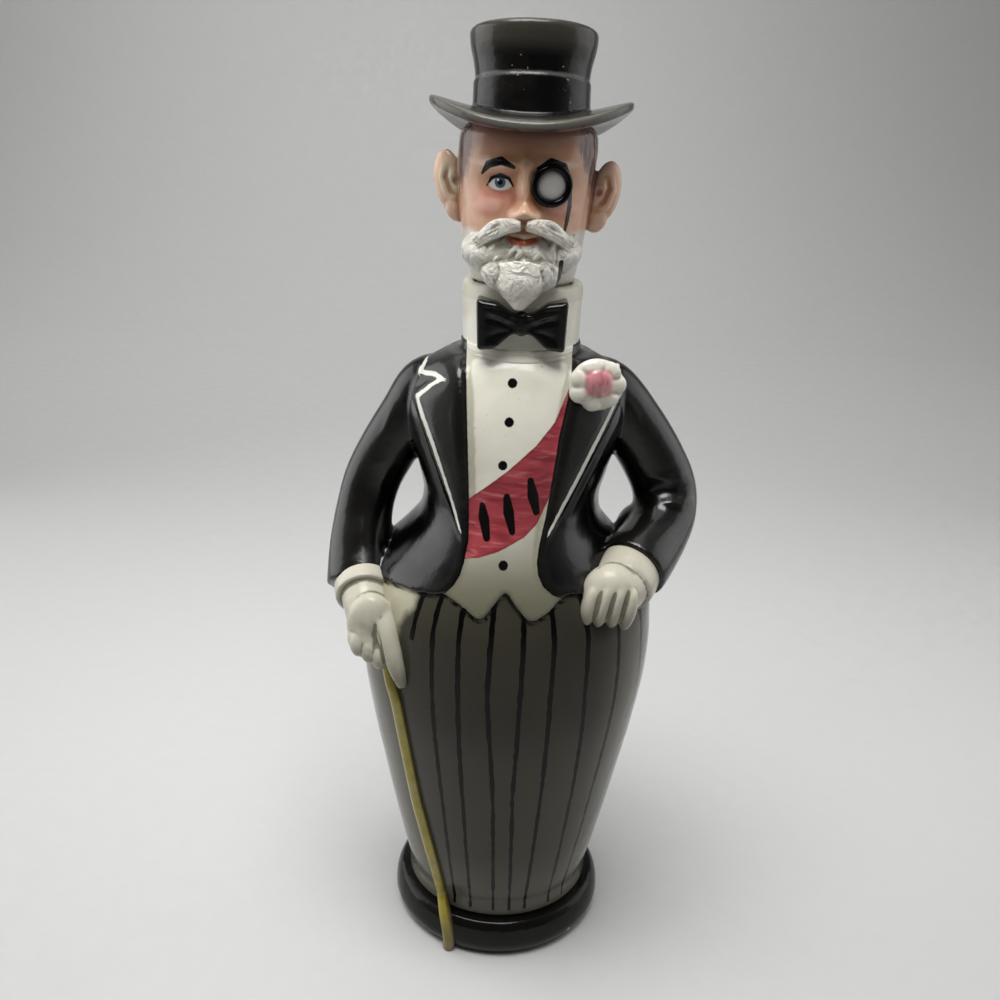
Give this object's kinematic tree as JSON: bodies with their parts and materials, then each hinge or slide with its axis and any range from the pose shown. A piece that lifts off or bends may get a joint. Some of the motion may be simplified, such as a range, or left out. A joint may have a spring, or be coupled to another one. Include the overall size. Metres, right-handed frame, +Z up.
{
  "type": "figural decanter",
  "caption": "Glazed ceramic decanter shaped as a standing gentleman in a tailcoat with cane and top hat; the head lifts off the collar as the stopper.",
  "frame": {"origin": "centre of the flat underside of the foot", "axes": "+Z up, the figure faces -Y, its right arm with the cane is at -X"},
  "size_m": [0.1313, 0.0997, 0.33],
  "materials": {
    "body_glaze": "glossy painted glaze: black tailcoat, olive-grey trousers, cream shirt",
    "head_glaze": "glossy painted glaze: skin tones, off-white beard, black hat"
  },
  "bodies": {
    "root": {"body_torso": "body_glaze", "body_trousers": "body_glaze", "body_right_arm": "body_glaze", "body_left_arm": "body_glaze", "head_stopper": "head_glaze"}
  },
  "joints": []
}
